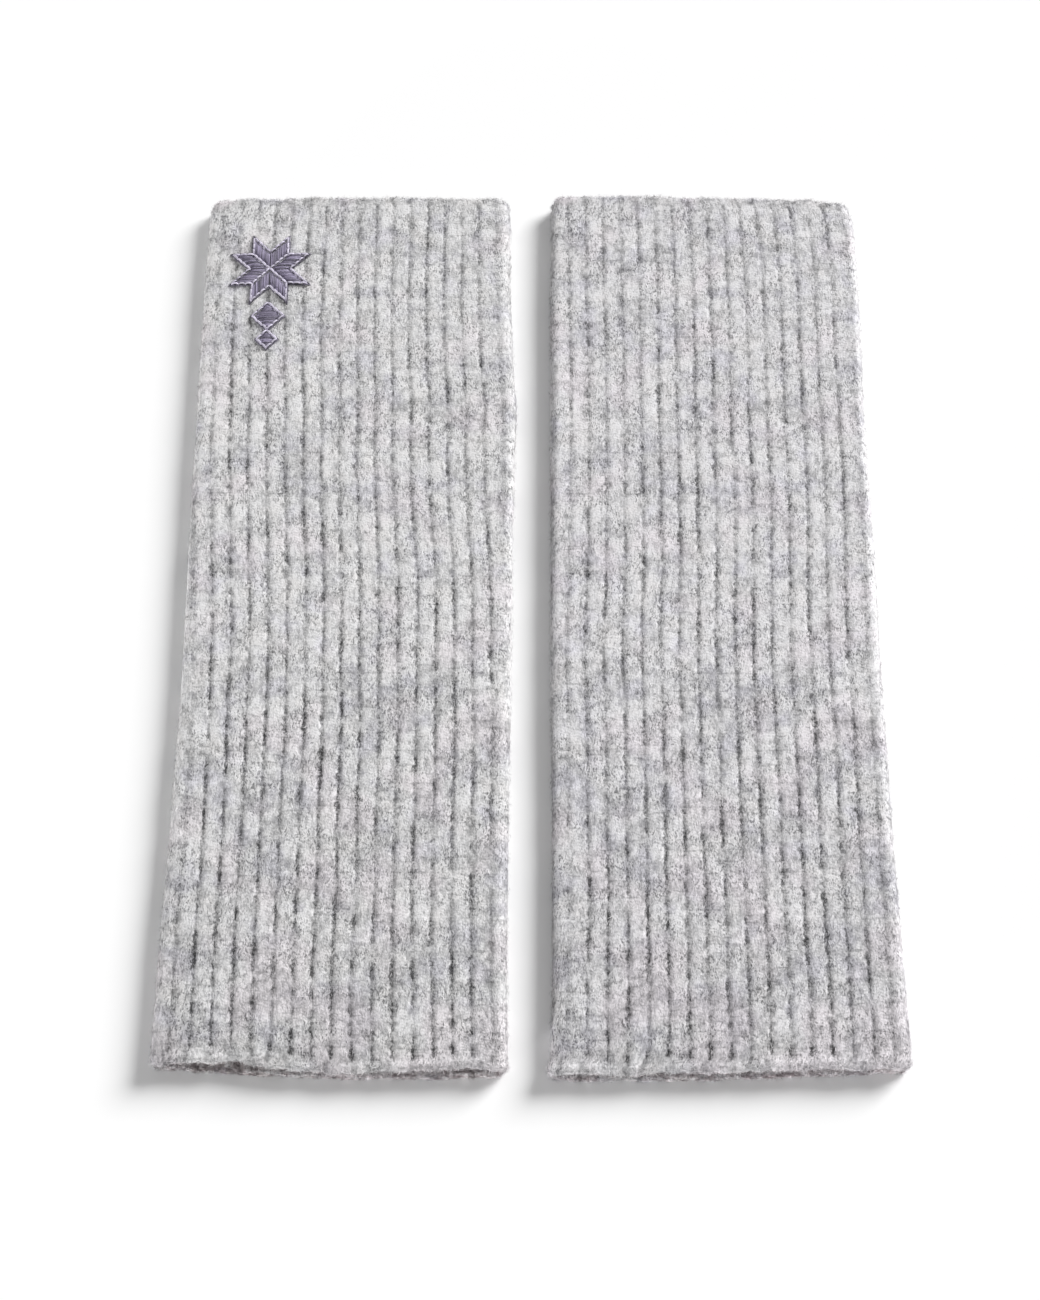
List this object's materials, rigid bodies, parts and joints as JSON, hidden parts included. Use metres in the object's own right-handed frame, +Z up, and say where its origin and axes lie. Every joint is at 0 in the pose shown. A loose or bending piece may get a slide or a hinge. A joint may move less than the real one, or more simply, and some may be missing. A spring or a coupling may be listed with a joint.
{
  "type": "pair of fingerless rib-knit gloves (wrist warmers)",
  "caption": "Pair of straight fingerless gloves, each a rib-knit wool tube with bound-off edges, laid flat side by side.",
  "frame": {"origin": "bottom centre of the pair as it lies, on the surface that it rests on", "axes": "+X across the pair towards the right glove, +Y along the tubes away from the viewer, +Z up out of the surface"},
  "size_m": [0.1947, 0.2716, 0.0073],
  "materials": {
    "left_wool": "light heather-grey fulled wool rib knit with a soft fuzzy surface",
    "right_wool": "light heather-grey fulled wool rib knit with a soft fuzzy surface"
  },
  "bodies": {
    "root": {"left_glove": "left_wool", "right_glove": "right_wool"}
  },
  "joints": []
}
